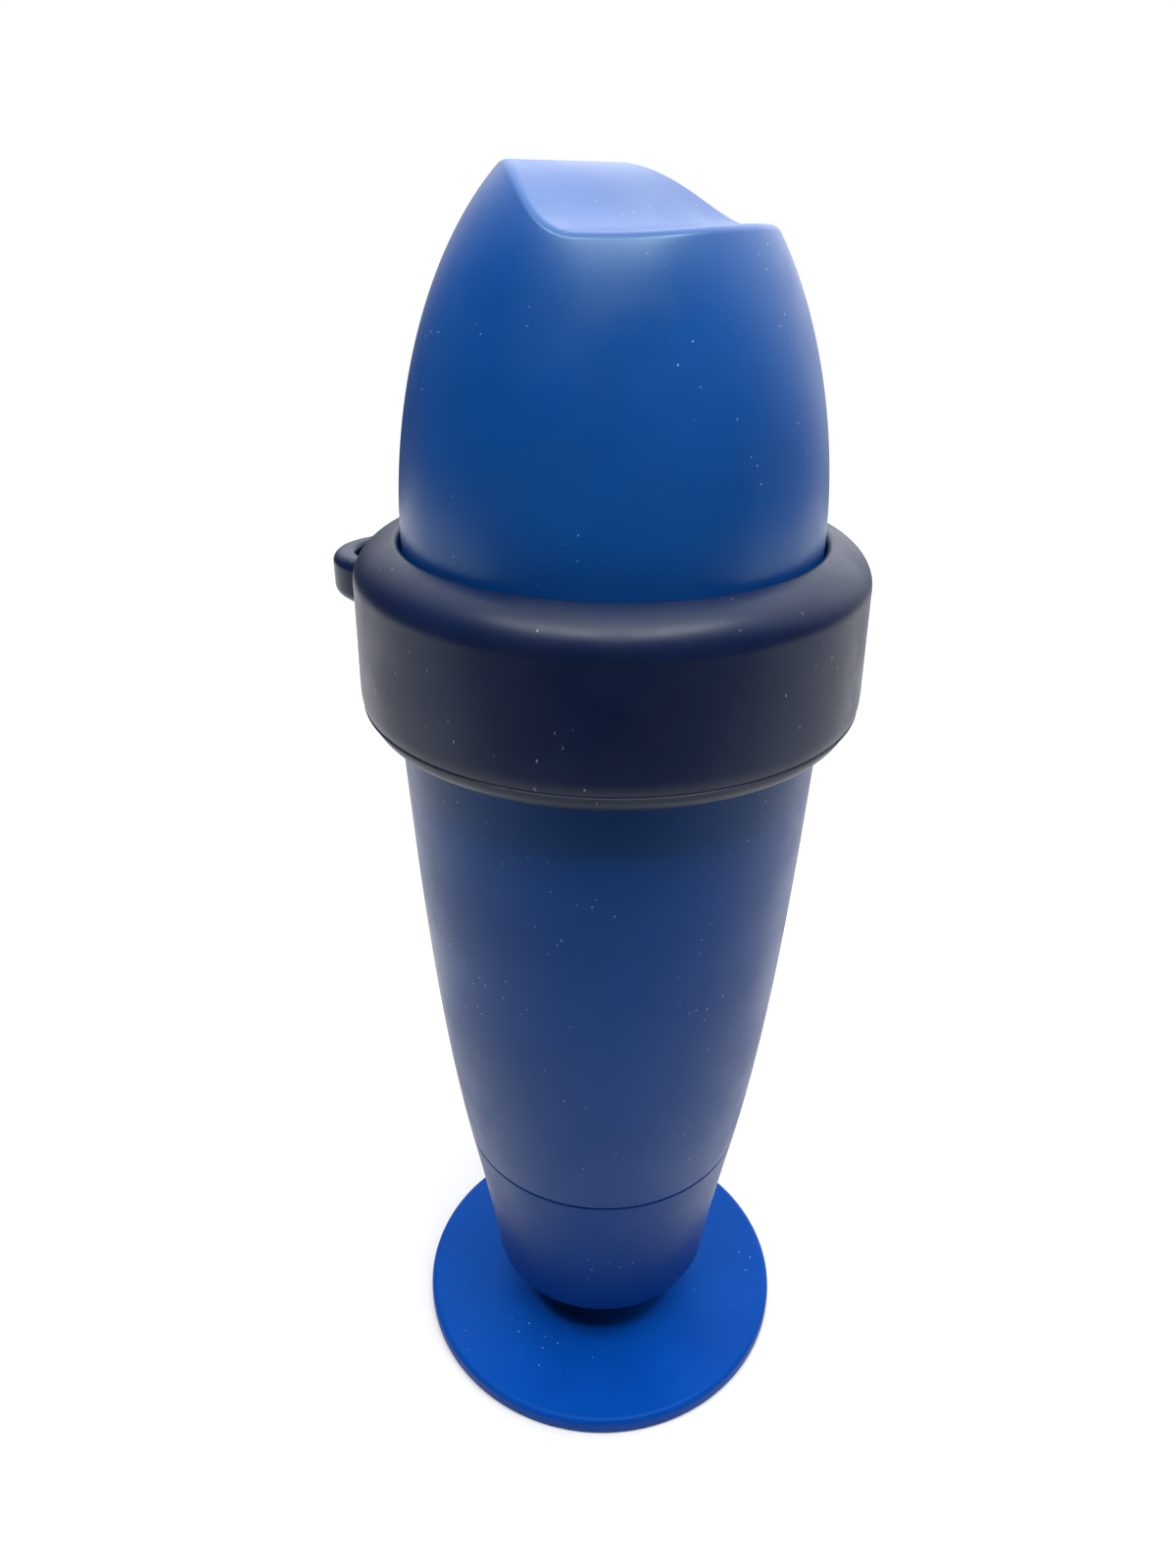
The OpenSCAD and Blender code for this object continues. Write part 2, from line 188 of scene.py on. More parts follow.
# Screw thread between the hull and the foot
THREAD_LEAD = 4.0
THREAD_RISE = 0.8
THREAD_WIDTH = 1.5
THREAD_FLANK = 0.35
THREAD_RUN_IN = 1.2


# ---------------------------------------------------------------- mesh helpers

def between(start, end, steps):
    """Evenly spaced values from start to end, both included."""
    return [start + (end - start) * i / steps for i in range(steps + 1)]


def arc(centre, radii, start, end, steps):
    """Points on an elliptic arc; angles in degrees, both ends included."""
    angles = [math.radians(a) for a in between(start, end, steps)]
    return [(centre[0] + radii[0] * math.cos(a), centre[1] + radii[1] * math.sin(a)) for a in angles]


def rounded(before, corner, after, cut_before, cut_after, steps):
    """Points of a near-circular curve that replaces a corner."""
    start = corner + (before - corner).normalized() * cut_before
    end = corner + (after - corner).normalized() * cut_after
    weight = math.sin((before - corner).angle(after - corner) / 2)
    points = []
    for t in between(0, 1, steps):
        a, b, c = (1 - t) ** 2, 2 * weight * t * (1 - t), t ** 2
        points.append(tuple((start * a + corner * b + end * c) / (a + b + c)))
    return points


def eased(corners, steps=6):
    """A closed outline from (x, y) or (x, y, rounding) corners, with the rounded ones eased."""
    spots = [Vector(c[:2]) for c in corners]
    made = []
    for i, corner in enumerate(corners):
        if len(corner) == 2:
            made.append(corner)
            continue
        before = spots[i - 1]
        after = spots[(i + 1) % len(spots)]
        half = (before - spots[i]).angle(after - spots[i]) / 2
        room = 0.48 * min((before - spots[i]).length, (after - spots[i]).length)
        cut = min(corner[2] / math.tan(half), room)
        made.extend(rounded(before, spots[i], after, cut, cut, steps))
    return made


def bridge(bm, low, high):
    """Faces between two closed rings of vertices; a ring of one vertex is a pole."""
    count = max(len(low), len(high))
    for k in range(count if len(low) + len(high) > 2 else 0):
        n = (k + 1) % count
        if len(low) == 1:
            bm.faces.new((low[0], high[n], high[k]))
        elif len(high) == 1:
            bm.faces.new((low[k], low[n], high[0]))
        else:
            bm.faces.new((low[k], low[n], high[n], high[k]))


def revolved(outline_at, around=AROUND):
    """A solid turned from a closed outline of (radius, height) points that may change with the angle."""
    bm = bmesh.new()
    turns = [2 * math.pi * k / around for k in range(around)]
    outlines = [outline_at(turn) for turn in turns]
    rings = []
    for i, (radius, height) in enumerate(outlines[0]):
        if radius < 1e-6:
            rings.append([bm.verts.new((0, 0, height * MM))])
            continue
        ring = []
        for turn, outline in zip(turns, outlines):
            r, z = outline[i]
            ring.append(bm.verts.new((r * MM * math.cos(turn), r * MM * math.sin(turn), z * MM)))
        rings.append(ring)
    for i, ring in enumerate(rings):
        bridge(bm, ring, rings[(i + 1) % len(rings)])
    return bm


def lathe(outline, around=AROUND):
    """A solid turned from one closed outline of (radius, height) points."""
    return revolved(lambda turn: outline, around)


def raise_thread(bm, radius, low, high, rise, phase):
    """Lifts a right-hand screw ridge on the part of a turned solid that lies at that radius."""
    for v in bm.verts:
        z = v.co.z / MM
        flat = Vector((v.co.x, v.co.y))
        if abs(flat.length / MM - radius) > 0.01 or not low < z < high:
            continue
        turn = math.atan2(flat.y, flat.x) / (2 * math.pi)
        along = (z - phase) / THREAD_LEAD - turn
        from_ridge = abs(along - round(along)) * THREAD_LEAD
        shape = min(1.0, max(0.0, (THREAD_WIDTH / 2 - from_ridge) / THREAD_FLANK))
        run_in = min(1.0, (z - low) / THREAD_RUN_IN, (high - z) / THREAD_RUN_IN)
        grown = 1 + rise * shape * run_in / radius
        v.co.x *= grown
        v.co.y *= grown


def slab(outline, low, high, rounding=0.0):
    """A solid from an outline of (x, y) points, upright between two heights, with its edges rounded."""
    bm = bmesh.new()
    lower = [bm.verts.new((x * MM, y * MM, low * MM)) for x, y in outline]
    upper = [bm.verts.new((x * MM, y * MM, high * MM)) for x, y in outline]
    bridge(bm, lower, upper)
    bm.faces.new(lower)
    bm.faces.new(upper)
    if rounding:
        rims = [e for f in bm.faces if len(f.verts) == len(outline) for e in f.edges]
        bmesh.ops.bevel(bm, geom=list(set(rims)), offset=rounding * MM, segments=3, profile=0.5,
                        affect="EDGES")
    return bm


def box_outline(x, y, width, depth, corner=0.0):
    """A rectangle's outline about a centre, with rounded corners if corner is above zero."""
    w, d = width / 2, depth / 2
    spots = [(x - w, y - d), (x + w, y - d), (x + w, y + d), (x - w, y + d)]
    return eased([(*spot, corner) for spot in spots]) if corner else spots


def placed(bm, place):
    """Moves a bmesh by a matrix given in millimetres."""
    matrix = place.copy()
    matrix.translation = matrix.translation * MM
    bm.transform(matrix)
    return bm


def to_mesh(name, bm):
    bmesh.ops.recalc_face_normals(bm, faces=bm.faces)
    mesh = bpy.data.meshes.new(name)
    bm.to_mesh(mesh)
    bm.free()
    return mesh


def combined(base, tools, operation):
    """The base mesh joined with or cut by the tool solids, as one closed mesh."""
    holder = bpy.data.objects.new("holder", base)
    bpy.context.scene.collection.objects.link(holder)
    helpers = []
    for tool in tools:
        helper = bpy.data.objects.new("helper", to_mesh("helper", tool))
        bpy.context.scene.collection.objects.link(helper)
        helpers.append(helper)
        step = holder.modifiers.new("step", "BOOLEAN")
        step.object = helper
        step.operation = operation
        step.solver = "EXACT"
    depsgraph = bpy.context.evaluated_depsgraph_get()
    made = bpy.data.meshes.new_from_object(holder.evaluated_get(depsgraph))
    for item in [holder] + helpers:
        bpy.data.objects.remove(item)
    return made


def piece(name, mesh, body, material, stands_for=(), crease=34):
    """Puts a finished mesh in the scene as a piece that rides on a body."""
    if isinstance(mesh, bmesh.types.BMesh):
        mesh = to_mesh(name, mesh)
    shown = bpy.data.objects.new(name, mesh)
    bpy.context.scene.collection.objects.link(shown)
    mesh.shade_smooth()
    mesh.set_sharp_from_angle(angle=math.radians(crease))
    mesh.materials.clear()
    mesh.materials.append(material)
    normals = shown.modifiers.new("normals", "WEIGHTED_NORMAL")
    normals.keep_sharp = True
    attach(shown, body)
    if stands_for:
        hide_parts(*stands_for)
    return shown


# ---------------------------------------------------------------- materials

class Shader:
    """A small wrapper that makes a node material line by line."""

    def __init__(self, name):
        self.material = bpy.data.materials.new(name)
        self.material.use_nodes = True
        self.tree = self.material.node_tree
        self.tree.nodes.clear()
        self.surface = self.add("ShaderNodeBsdfPrincipled")
        output = self.add("ShaderNodeOutputMaterial")
        self.link(self.surface.outputs[0], output.inputs["Surface"])
        self.place = self.add("ShaderNodeTexCoord").outputs["Object"]

    def add(self, kind, **settings):
        node = self.tree.nodes.new(kind)
        for key, value in settings.items():
            setattr(node, key, value)
        return node

    def link(self, source, target):
        self.tree.links.new(source, target)

    def feed(self, target, value):
        """Gives a socket a number, a colour or another node's output."""
        if isinstance(value, (int, float)):
            target.default_value = value
        elif isinstance(value, tuple):
            target.default_value = (*value, 1.0) if len(target.default_value) == 4 else value
        else:
            self.link(value, target)

    def set(self, **values):
        """Sets the surface's sockets: underscores stand for the spaces in their names."""
        for key, value in values.items():
            self.feed(self.surface.inputs[key.replace("_", " ")], value)

    def mapped(self, stretch=(1, 1, 1), turn=(0, 0, 0)):
        node = self.add("ShaderNodeMapping")
        node.inputs["Scale"].default_value = stretch
        node.inputs["Rotation"].default_value = turn
        self.link(self.place, node.inputs["Vector"])
        return node.outputs["Vector"]

    def noise(self, scale, detail=3.0, roughness=0.55, along=None):
        node = self.add("ShaderNodeTexNoise")
        node.inputs["Scale"].default_value = scale
        node.inputs["Detail"].default_value = detail
        node.inputs["Roughness"].default_value = roughness
        self.link(along or self.place, node.inputs["Vector"])
        return node.outputs["Fac"]

    def cells(self, scale, along=None):
        node = self.add("ShaderNodeTexVoronoi")
        node.inputs["Scale"].default_value = scale
        self.link(along or self.place, node.inputs["Vector"])
        return node.outputs["Distance"]

    def ramp(self, source, low, high, from_value=0.0, to_value=1.0):
        node = self.add("ShaderNodeMapRange", interpolation_type="SMOOTHSTEP")
        node.inputs["From Min"].default_value = low
        node.inputs["From Max"].default_value = high
        node.inputs["To Min"].default_value = from_value
        node.inputs["To Max"].default_value = to_value
        self.link(source, node.inputs["Value"])
        return node.outputs["Result"]

    def maths(self, operation, a, b):
        node = self.add("ShaderNodeMath", operation=operation)
        self.feed(node.inputs[0], a)
        self.feed(node.inputs[1], b)
        return node.outputs[0]

    def times(self, a, b):
        return self.maths("MULTIPLY", a, b)

    def plus(self, a, b):
        return self.maths("ADD", a, b)

    def mix(self, factor, a, b):
        node = self.add("ShaderNodeMix", data_type="RGBA")
        self.link(factor, node.inputs["Factor"])
        for socket, value in (("A", a), ("B", b)):
            self.feed([i for i in node.inputs if i.name == socket and i.type == "RGBA"][0], value)
        return [o for o in node.outputs if o.type == "RGBA"][0]

    def bump(self, height, strength, distance, below=None):
        node = self.add("ShaderNodeBump")
        node.inputs["Strength"].default_value = strength
        node.inputs["Distance"].default_value = distance
        self.link(height, node.inputs["Height"])
        if below is not None:
            self.link(below, node.inputs["Normal"])
        return node.outputs["Normal"]


def moulded_blue(name, deep, pale, roughness, gloss, tint):
    """Satin moulded plastic: slight colour drift, fine orange peel, dust specks and hairline scratches."""
    s = Shader(name)
    body = s.mix(s.ramp(s.noise(28, 2.5), 0.35, 0.65), deep, pale)
    dust = s.times(s.ramp(s.cells(520), 0.1, 0.05), s.ramp(s.noise(70, 2.0), 0.54, 0.62))
    lines = s.ramp(s.cells(75, s.mapped((1.0, 1.0, 0.06), (0.35, 0.2, 0.0))), 0.010, 0.004)
    scratches = s.times(lines, s.ramp(s.noise(36, 1.5), 0.56, 0.7))
    marks = s.plus(s.times(dust, 0.55), s.times(scratches, 0.12))
    smear = s.ramp(s.noise(60, 3.0), 0.3, 0.7, roughness - 0.04, roughness + 0.05)
    peel = s.bump(s.noise(1500, 2.0), 0.12, 0.00006)
    s.set(
        Base_Color=s.mix(marks, body, (0.55, 0.62, 0.7)),
        Roughness=s.plus(smear, s.times(scratches, 0.12)),
        Normal=s.bump(scratches, 0.15, 0.00003, peel),
        IOR=1.5,
        Specular_IOR_Level=gloss,
        Specular_Tint=tint,
    )
    return s.material


def soft_rubber(name, deep, pale, roughness):
    """Matte silicone rubber with clinging dust, faint wipe marks and a fine grain."""
    s = Shader(name)
    body = s.mix(s.ramp(s.noise(45, 3.0), 0.3, 0.7), deep, pale)
    lint = s.times(
        s.ramp(s.cells(430, s.mapped((1.0, 1.0, 0.6), (0.4, 0.1, 0.7))), 0.11, 0.05),
        s.ramp(s.noise(60), 0.5, 0.6),
    )
    s.set(
        Base_Color=s.mix(s.times(lint, 0.5), body, (0.35, 0.37, 0.42)),
        Roughness=s.ramp(s.noise(70, 4.0), 0.3, 0.7, roughness - 0.05, roughness + 0.06),
        Normal=s.bump(s.noise(1900, 3.0), 0.14, 0.00006),
        IOR=1.45,
        Specular_IOR_Level=0.3,
        Specular_Tint=(0.92, 1.0, 1.0),
    )
    return s.material


def plain_moulded(name, colour, roughness=0.45):
    """Dark or pale engineering plastic with a fine spark-eroded texture."""
    s = Shader(name)
    darker = tuple(c * 0.8 for c in colour)
    s.set(
        Base_Color=s.mix(s.ramp(s.noise(120), 0.35, 0.65), darker, colour),
        Roughness=s.ramp(s.noise(300), 0.3, 0.7, roughness - 0.06, roughness + 0.08),
        Normal=s.bump(s.noise(3200, 2.0), 0.15, 0.00005),
    )
    return s.material


def metal(name, colour, roughness=0.28):
    """Machined or plated metal with fine turning lines."""
    s = Shader(name)
    darker = tuple(c * 0.75 for c in colour)
    lines = s.noise(900, 2.0, 0.5, s.mapped((1.0, 1.0, 12.0)))
    s.set(
        Base_Color=s.mix(s.ramp(s.noise(400, 4.0), 0.35, 0.7), darker, colour),
        Roughness=s.ramp(lines, 0.3, 0.7, roughness - 0.08, roughness + 0.1),
        Normal=s.bump(lines, 0.1, 0.00003),
        Metallic=1.0,
    )
    return s.material


def circuit_board(name):
    """Solder mask over faint copper pours, with a fine weave from the glass cloth."""
    s = Shader(name)
    pour = s.ramp(s.cells(160, s.mapped((1.0, 1.0, 1.6))), 0.42, 0.45)
    weave = s.noise(1400, 1.0, 0.5, s.mapped((4.0, 1.0, 1.0)))
    s.set(
        Base_Color=s.mix(pour, (0.012, 0.12, 0.04), (0.02, 0.2, 0.06)),
        Roughness=s.ramp(weave, 0.3, 0.7, 0.24, 0.34),
        Normal=s.bump(weave, 0.12, 0.00004),
        Coat_Weight=0.3,
    )
    return s.material


def paper(name):
    """Fibrous sachet paper, its fibres shown in its colour and in a fine bump."""
    s = Shader(name)
    fibres = s.noise(900, 5.0, 0.7)
    s.set(
        Base_Color=s.mix(s.ramp(fibres, 0.3, 0.7), (0.66, 0.65, 0.61), (0.82, 0.81, 0.77)),
        Roughness=0.85,
        Normal=s.bump(fibres, 0.3, 0.00008),
    )
    return s.material


def glass(name):
    """Thin clear glass with slight blowing ripples."""
    s = Shader(name)
    ripples = s.noise(300, 1.5)
    s.set(
        Base_Color=s.mix(s.ramp(ripples, 0.4, 0.6), (0.93, 0.98, 0.97), (0.98, 1.0, 1.0)),
        Roughness=0.03,
        Normal=s.bump(ripples, 0.05, 0.00005),
        IOR=1.47,
        Transmission_Weight=0.95,
    )
    return s.material


HEAD_BLUE = moulded_blue(
    "head_blue", deep=(0.0015, 0.053, 0.245), pale=(0.002, 0.062, 0.28),
    roughness=0.33, gloss=0.5, tint=(0.7, 1.0, 1.0),
)
HULL_BLUE = moulded_blue(
    "hull_blue", deep=(0.0004, 0.022, 0.145), pale=(0.0008, 0.027, 0.165),
    roughness=0.36, gloss=0.24, tint=(0.38, 0.8, 1.0),
)
FOOT_BLUE = moulded_blue(
    "foot_blue", deep=(0.0005, 0.018, 0.14), pale=(0.0008, 0.022, 0.16),
    roughness=0.36, gloss=0.2, tint=(0.15, 0.8, 1.0),
)
DISC_BLUE = moulded_blue(
    "disc_blue", deep=(0.0001, 0.037, 0.235), pale=(0.0003, 0.044, 0.265),
    roughness=0.42, gloss=0.08, tint=(0.4, 0.9, 1.0),
)
NAVY_RUBBER = soft_rubber("navy_rubber", (0.002, 0.007, 0.034), (0.003, 0.01, 0.044), 0.37)
BLACK_RUBBER = soft_rubber("seal_rubber", (0.012, 0.012, 0.012), (0.02, 0.02, 0.02), 0.35)
DARK_PLASTIC = plain_moulded("dark_plastic", (0.03, 0.032, 0.038))
PALE_PLASTIC = plain_moulded("pale_plastic", (0.55, 0.56, 0.57))
STEEL = metal("steel", (0.55, 0.56, 0.57))
PLATINUM = metal("platinum", (0.7, 0.68, 0.63), 0.18)
GOLD = metal("gold_plate", (0.83, 0.6, 0.24), 0.22)
IRON = metal("ballast_iron", (0.16, 0.16, 0.165), 0.55)
BOARD_GREEN = circuit_board("circuit_board")
FILM = plain_moulded("flex_film", (0.42, 0.17, 0.025), 0.25)
WRAP = plain_moulded("cell_wrap", (0.1, 0.03, 0.2), 0.3)
PAPER = paper("desiccant_paper")
GLASS = glass("clear_glass")

# CAD nodes that show as they are, and what each is made of
CAD_LOOKS = {
    DARK_PLASTIC: ["probe_socket", "socket_nut", "logic_chips", "cell_cradle"],
    PALE_PLASTIC: ["board_connector", "reference_plug"],
    STEEL: ["chassis_screws", "radio_can", "cell_contacts", "conductivity_pins", "temperature_tip"],
    PLATINUM: ["redox_tip"],
    GOLD: ["socket_pins", "probe_pads"],
    IRON: ["ballast_ring"],
    BOARD_GREEN: ["main_board"],
    FILM: ["sensor_flex"],
    WRAP: ["battery_cell_a", "battery_cell_b"],
}


def dress_cad_nodes():
    """Gives the CAD nodes that stay in the scene their material and a fine bevel on their edges."""
    for material, nodes in CAD_LOOKS.items():
        for node in nodes:
            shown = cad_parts[node]
            shown.data.materials.clear()
            shown.data.materials.append(material)
            edge = shown.modifiers.new("edge", "BEVEL")
            edge.width = 0.15 * MM
            edge.segments = 2
            edge.limit_method = "ANGLE"
            edge.angle_limit = math.radians(50)
            edge.harden_normals = True


# ---------------------------------------------------------------- head

def wave_height(y):
    """Height of the wave at distance y towards its high side."""
    u = max(-1.0, min(1.0, (y - WAVE_MIDDLE) / WAVE_HALF_RUN))
    curl = LIP_CURL * max(0.0, -y - LIP_CURL_START) ** 2
    return (CREST_Z + DIP_Z) / 2 + (CREST_Z - DIP_Z) / 2 * math.sin(math.pi / 2 * u) + curl


def dome_point(angle, inset):
    """A point of the head's oval side, or of its inside when inset is the wall."""
    return Vector(((HEAD_R - inset) * math.cos(angle), SHOULDER_Z + (HEAD_RISE - inset) * math.sin(angle)))


def dome_meridian(turn, inset, rim_round, side_steps, top_steps):
    """Points up the head's side and over its wave to the axis, with the rim between them rounded."""
    across = math.cos(turn - WAVE_TURN)
    low, high = 0.2, 1.5
    halvings = 40
    for _ in range(halvings):
        middle = (low + high) / 2
        spot = dome_point(middle, inset)
        if spot.y < wave_height(spot.x * across) - inset:
            low = middle
        else:
            high = middle

    def wave_point(radius):
        return Vector((radius, wave_height(radius * across) - inset))

    rim = dome_point(low, inset)
    down = dome_point(low - 0.01, inset) - rim
    cut = rim_round / math.tan(down.angle(wave_point(rim.x - 0.2) - rim) / 2)
    side_end = low - 0.01 * cut / down.length
    side = [tuple(dome_point(a, inset)) for a in between(0, side_end, side_steps)]
    start = dome_point(side_end, inset)
    end = wave_point(rim.x - cut)
    up = (start - dome_point(side_end - 0.01, inset)).normalized()
    inwards = (wave_point(end.x - 0.2) - end).normalized()
    reach = (end - start).cross(inwards) / up.cross(inwards)
    corner = start + up * reach
    edge = rounded(start, corner, end, (corner - start).length, (end - corner).length, 7)
    top = [tuple(wave_point(end.x * (1 - k / top_steps))) for k in range(1, top_steps)]
    return side + edge[1:] + top + [(0.0, wave_point(0.0).y)]


def head_meridian(turn):
    outer = dome_meridian(turn, inset=0.0, rim_round=RIM_ROUND, side_steps=44, top_steps=40)
    inner = dome_meridian(turn, inset=HEAD_WALL, rim_round=1.2, side_steps=30, top_steps=24)
    inner_r = HEAD_R - HEAD_WALL
    skirt = eased([
        (HEAD_R, SHOULDER_Z), (inner_r, SHOULDER_Z), (inner_r, SKIRT_Z, 0.5), (HEAD_R, SKIRT_Z, 0.4),
    ], 3)[2:]
    walls = [(HEAD_R, z) for z in between(SKIRT_Z + 1, SHOULDER_Z - 1, 8)]
    inner_walls = [(inner_r, z) for z in between(SHOULDER_Z - 1, SKIRT_Z + 1, 4)]
    return inner[::-1] + inner_walls + skirt + walls + outer


def make_head():
    piece("head_skin", revolved(head_meridian), "head", HEAD_BLUE, ["head_shell"])
    seal_centre = (TUBE_R + 0.25 - HEAD_SEAL_SECTION, HEAD_SEAL_Z)
    seal = lathe(arc(seal_centre, (HEAD_SEAL_SECTION, HEAD_SEAL_SECTION), 0, 345, 23))
    piece("head_seal_ring", seal, "hull", BLACK_RUBBER, ["head_seal"])


# ---------------------------------------------------------------- hull

def hull_radius(z):
    t = (LEDGE_Z - z) / (LEDGE_Z - SPLIT_Z)
    return LEDGE_R - (LEDGE_R - SPLIT_R) * (0.535 * t + 0.465 * t ** 3)


def hull_outline():
    inner_top = LEDGE_Z - HULL_WALL
    spigot = [(SPIGOT_R, z) for z in between(SPIGOT_Z + 1.6, HULL_BASE - 0.8, 72)]
    outside = [(hull_radius(z), z) for z in between(HULL_BASE + 1.2, LEDGE_Z - 1.5, 48)]
    inside = [(hull_radius(z) - HULL_WALL, z) for z in between(inner_top, BULKHEAD_TOP, 24)]
    groove = (HEAD_SEAL_Z - SEAL_GROOVE_HALF, HEAD_SEAL_Z + SEAL_GROOVE_HALF)
    return eased([
        (SPIGOT_IN_R, BULKHEAD_Z, 0.6), (SPIGOT_IN_R, SPIGOT_Z, 0.5), (SPIGOT_R, SPIGOT_Z, 0.7),
        *spigot, (SPIGOT_R, HULL_BASE), (hull_radius(HULL_BASE), HULL_BASE, 0.2),
        *outside, (LEDGE_R, LEDGE_Z, 0.8), (NECK_R, LEDGE_Z, 0.4),
        (NECK_R, NECK_TOP, 0.6), (TUBE_R, NECK_TOP, 0.3),
        (TUBE_R, groove[0], 0.15), (SEAL_GROOVE_R, groove[0]),
        (SEAL_GROOVE_R, groove[1]), (TUBE_R, groove[1], 0.15),
        (TUBE_R, TUBE_TOP, 0.9), (TUBE_IN_R, TUBE_TOP, 0.6),
        (TUBE_IN_R, NECK_TOP - HULL_WALL), (NECK_IN_R, NECK_TOP - HULL_WALL), (NECK_IN_R, inner_top),
        *inside, (SOCKET_HOLE_R, BULKHEAD_TOP, 0.3), (SOCKET_HOLE_R, BULKHEAD_Z, 0.3),
    ])


def make_hull():
    shell = lathe(hull_outline())
    raise_thread(shell, SPIGOT_R, SPIGOT_Z + 1.5, HULL_BASE - 1.4, THREAD_RISE, 0.0)
    piece("hull_skin", shell, "hull", HULL_BLUE, ["hull_shell"])


# ---------------------------------------------------------------- float collar

def collar_outline():
    crown_centre = (COLLAR_R - 0.3 - CROWN_HALF[0], CROWN_Z - CROWN_HALF[1])
    lip_round = 1.3
    lip_angle = math.degrees(math.acos((COLLAR_BORE_R + lip_round - crown_centre[0]) / CROWN_HALF[0]))
    lip_top = crown_centre[1] + CROWN_HALF[1] * math.sin(math.radians(lip_angle))
    wall = between(PART_Z + 4.5, crown_centre[1] - 1.5, 10)
    wall_top = COLLAR_R - 0.3
    flash = [(0.15, -0.16), (0.6, -0.06), (0.6, 0.06), (0.4, 0.2)]
    return eased([
        (COUNTERBORE_R, COLLAR_BASE, 0.4),
        *arc((PART_R - 4, PART_Z), (4, 4), -90, -6, 14),
        *[(PART_R + r, PART_Z + z) for r, z in flash],
        *arc((PART_R, PART_Z + 3), (0.9, 3), -62, 0, 8),
        *[(COLLAR_R + (wall_top - COLLAR_R) * (z - wall[0]) / (wall[-1] - wall[0]), z) for z in wall],
        *arc(crown_centre, CROWN_HALF, 0, lip_angle, 30),
        *arc((COLLAR_BORE_R + lip_round, lip_top - lip_round), (lip_round, lip_round), 100, 180, 9),
        *[(COLLAR_BORE_R, z) for z in between(lip_top - 4, COUNTERBORE_Z + 1, 6)],
        (COLLAR_BORE_R, COUNTERBORE_Z, 0.3), (COUNTERBORE_R, COUNTERBORE_Z),
    ])


def tether_lug():
    """The tether loop: its section swept half way round the eye, with both ends run into the collar."""
    section = eased([
        (EYE_R, LUG_INNER_LOW, 1.0), (LUG_R, LUG_OUTER_LOW, 2.4),
        (LUG_R, LUG_TOP, 2.2), (EYE_R, LUG_TOP, 1.2),
    ])
    stations = [(0, 2.5), *[(angle, 0) for angle in between(0, 180, 48)], (180, 2.5)]
    bm = bmesh.new()
    rings = []
    for angle, back in stations:
        turn = math.radians(angle)
        rings.append([
            bm.verts.new((r * math.cos(turn) * MM, (LUG_Y + r * math.sin(turn) - back) * MM, z * MM))
            for r, z in section
        ])
    for low, high in zip(rings, rings[1:]):
        bridge(bm, low, high)
    bm.faces.new(rings[0])
    bm.faces.new(rings[-1])
    return bm


def make_collar():
    ring = to_mesh("collar", lathe(collar_outline()))
    whole = combined(ring, [tether_lug()], "UNION")
    piece("float_collar_rubber", whole, "collar", NAVY_RUBBER, ["float_collar"])


# ---------------------------------------------------------------- foot

def sleeve_radius(z):
    low = LIP_Z + LIP_ROUND
    u = (z - low) / (SPLIT_Z - low)
    return SLEEVE_LOW_R + (SPLIT_R - SLEEVE_LOW_R) * (0.84 * u + 0.16 * u * u)


def sleeve_outline():
    mouth_r = SLEEVE_LOW_R - SLEEVE_WALL
    outside = [(sleeve_radius(z), z) for z in between(LIP_Z + LIP_ROUND + 1, SLEEVE_TOP - 1.2, 26)]
    bore = [(BORE_R, z) for z in between(SLEEVE_TOP - 1, BORE_Z + 0.5, 74)]
    inside = [(sleeve_radius(z) - SLEEVE_WALL, z) for z in between(BORE_Z, LIP_Z + 3, 12)]
    groove = (FOOT_SEAL_R - 1.1, FOOT_SEAL_R + 1.1)
    groove_z = FOOT_SEAL_Z - 1.05
    return eased([
        (mouth_r - 0.3, LIP_Z, 0.3),
        *arc((SLEEVE_LOW_R - LIP_ROUND, LIP_Z + LIP_ROUND), (LIP_ROUND, LIP_ROUND), -90, 0, 10),
        *outside, (sleeve_radius(SLEEVE_TOP), SLEEVE_TOP, 0.2),
        (groove[1], SLEEVE_TOP, 0.15), (groove[1], groove_z), (groove[0], groove_z),
        (groove[0], SLEEVE_TOP, 0.15), (BORE_R, SLEEVE_TOP, 0.3),
        *bore, *inside,
    ])


def leg_web():
    """The web of one leg, upright along X, from the disc up into the sleeve."""
    mouth_r = SLEEVE_LOW_R - SLEEVE_WALL
    corners = [
        (8, DISC_TOP), (14, DISC_TOP), (mouth_r + 1, LIP_Z + 0.5),
        (mouth_r + 1, LIP_Z + 4), (20, LIP_Z + 4), (17, LIP_Z),
    ]
    web = slab(corners, -LEG_HALF_WIDTH, LEG_HALF_WIDTH, 0.9)
    return placed(web, Matrix.Rotation(math.pi / 2, 4, "X"))


def round_bar(radius, low, high, rounding=0.0, around=48):
    corners = [(0, low), (radius, low), (radius, high, rounding) if rounding else (radius, high), (0, high)]
    return lathe(eased(corners), around)


def out_from_axis(bm, reach, turn):
    return placed(bm, Matrix.Rotation(turn, 4, "Z") @ Matrix.Translation((reach, 0, 0)))


